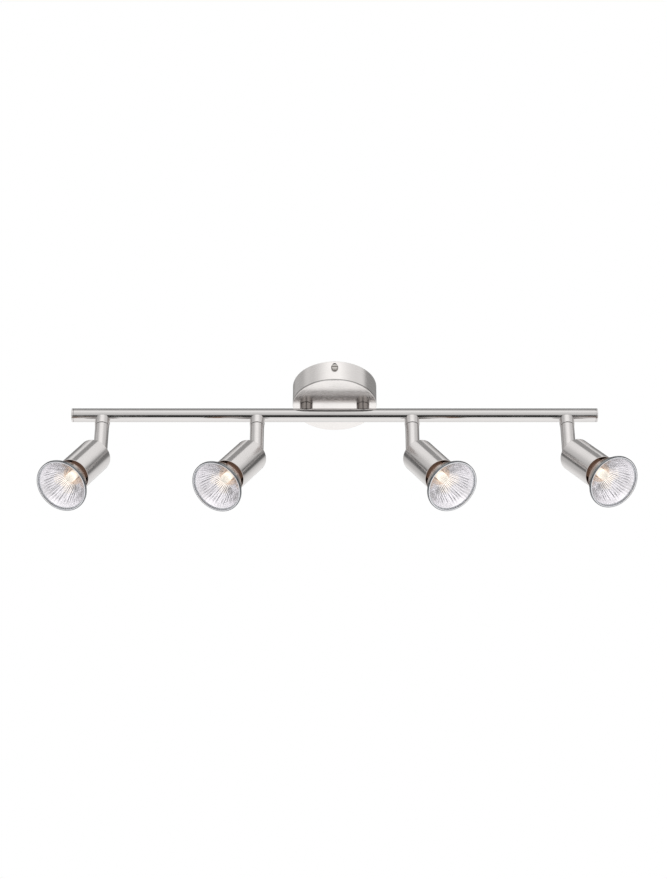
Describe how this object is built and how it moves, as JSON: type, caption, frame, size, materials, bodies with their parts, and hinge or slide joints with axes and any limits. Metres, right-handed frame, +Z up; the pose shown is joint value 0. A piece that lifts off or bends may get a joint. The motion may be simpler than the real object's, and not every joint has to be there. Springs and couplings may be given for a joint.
{
  "type": "ceiling spotlight bar",
  "caption": "Ceiling spot bar in satin nickel: a round canopy, a straight tube below it, and cup heads with reflector lamps that swivel and tilt.",
  "frame": {"origin": "centre of the bracket's face that meets the ceiling, on the canopy's axis", "axes": "+Z up, out of the face that meets the ceiling; +X along the bar, to the right seen from the front; -Y to the front"},
  "size_m": [0.5494, 0.1022, 0.1553],
  "materials": {
    "satin_nickel": "satin brushed nickel plate",
    "bright_nickel": "bright nickel plate",
    "zinc_steel": "zinc-plated pressed steel",
    "brass": "plain brass",
    "terminal_plastic": "moulded, matt",
    "wire_sheath": "extruded sheath, matt",
    "holder_ceramic": "unglazed ceramic, opaque",
    "reflector_glass": "moulded glass with a dichroic mirror coat",
    "clear_glass": "clear polished",
    "burner_glass": "clear quartz, lit warm white",
    "lamp_rim_metal": "rolled aluminium, grey"
  },
  "bodies": {
    "fixture": {"ceiling_bracket": "zinc_steel", "canopy_cup": "satin_nickel", "canopy_screw_front": "bright_nickel", "canopy_screw_back": "bright_nickel", "earth_screw": "brass", "terminal_block": "terminal_plastic", "bar_tube": "satin_nickel", "bar_cap_left": "satin_nickel", "bar_cap_right": "satin_nickel", "bar_wiring": "wire_sheath", "spacer_left": "satin_nickel", "spacer_right": "satin_nickel", "nipple_left": "zinc_steel", "nipple_right": "zinc_steel", "nipple_nut_left": "zinc_steel", "nipple_nut_right": "zinc_steel", "collar_1": "satin_nickel", "collar_2": "satin_nickel", "collar_3": "satin_nickel", "collar_4": "satin_nickel"},
    "arm_1": {"stem_1": "satin_nickel", "pivot_screw_1": "bright_nickel"},
    "head_1": {"tilt_lug_1": "bright_nickel", "head_cup_1": "satin_nickel", "lampholder_1": "holder_ceramic", "lamp_reflector_1": "reflector_glass", "lamp_burner_1": "burner_glass", "lamp_glass_1": "clear_glass", "lamp_rim_1": "lamp_rim_metal"},
    "arm_2": {"stem_2": "satin_nickel", "pivot_screw_2": "bright_nickel"},
    "head_2": {"tilt_lug_2": "bright_nickel", "head_cup_2": "satin_nickel", "lampholder_2": "holder_ceramic", "lamp_reflector_2": "reflector_glass", "lamp_burner_2": "burner_glass", "lamp_glass_2": "clear_glass", "lamp_rim_2": "lamp_rim_metal"},
    "arm_3": {"stem_3": "satin_nickel", "pivot_screw_3": "bright_nickel"},
    "head_3": {"tilt_lug_3": "bright_nickel", "head_cup_3": "satin_nickel", "lampholder_3": "holder_ceramic", "lamp_reflector_3": "reflector_glass", "lamp_burner_3": "burner_glass", "lamp_glass_3": "clear_glass", "lamp_rim_3": "lamp_rim_metal"},
    "arm_4": {"stem_4": "satin_nickel", "pivot_screw_4": "bright_nickel"},
    "head_4": {"tilt_lug_4": "bright_nickel", "head_cup_4": "satin_nickel", "lampholder_4": "holder_ceramic", "lamp_reflector_4": "reflector_glass", "lamp_burner_4": "burner_glass", "lamp_glass_4": "clear_glass", "lamp_rim_4": "lamp_rim_metal"}
  },
  "joints": [
    {"name": "swivel_1", "type": "hinge", "parent": "fixture", "child": "arm_1", "pos_m": [-0.2205, 0, -0.075], "axis": [0, 0, 1], "range_deg": [-132, 208]},
    {"name": "tilt_1", "type": "hinge", "parent": "arm_1", "child": "head_1", "pos_m": [-0.2205, 0, -0.075], "axis": [-0.788, 0.6157, 0], "range_deg": [-125, 55]},
    {"name": "swivel_2", "type": "hinge", "parent": "fixture", "child": "arm_2", "pos_m": [-0.0735, 0, -0.075], "axis": [0, 0, 1], "range_deg": [-124, 216]},
    {"name": "tilt_2", "type": "hinge", "parent": "arm_2", "child": "head_2", "pos_m": [-0.0735, 0, -0.075], "axis": [-0.6947, 0.7193, 0], "range_deg": [-126.5, 53.5]},
    {"name": "swivel_3", "type": "hinge", "parent": "fixture", "child": "arm_3", "pos_m": [0.0735, 0, -0.075], "axis": [0, 0, 1], "range_deg": [-215, 125]},
    {"name": "tilt_3", "type": "hinge", "parent": "arm_3", "child": "head_3", "pos_m": [0.0735, 0, -0.075], "axis": [-0.7071, -0.7071, 0], "range_deg": [-126.5, 53.5]},
    {"name": "swivel_4", "type": "hinge", "parent": "fixture", "child": "arm_4", "pos_m": [0.2205, 0, -0.075], "axis": [0, 0, 1], "range_deg": [-212, 128]},
    {"name": "tilt_4", "type": "hinge", "parent": "arm_4", "child": "head_4", "pos_m": [0.2205, 0, -0.075], "axis": [-0.7431, -0.6691, 0], "range_deg": [-129, 51]}
  ]
}
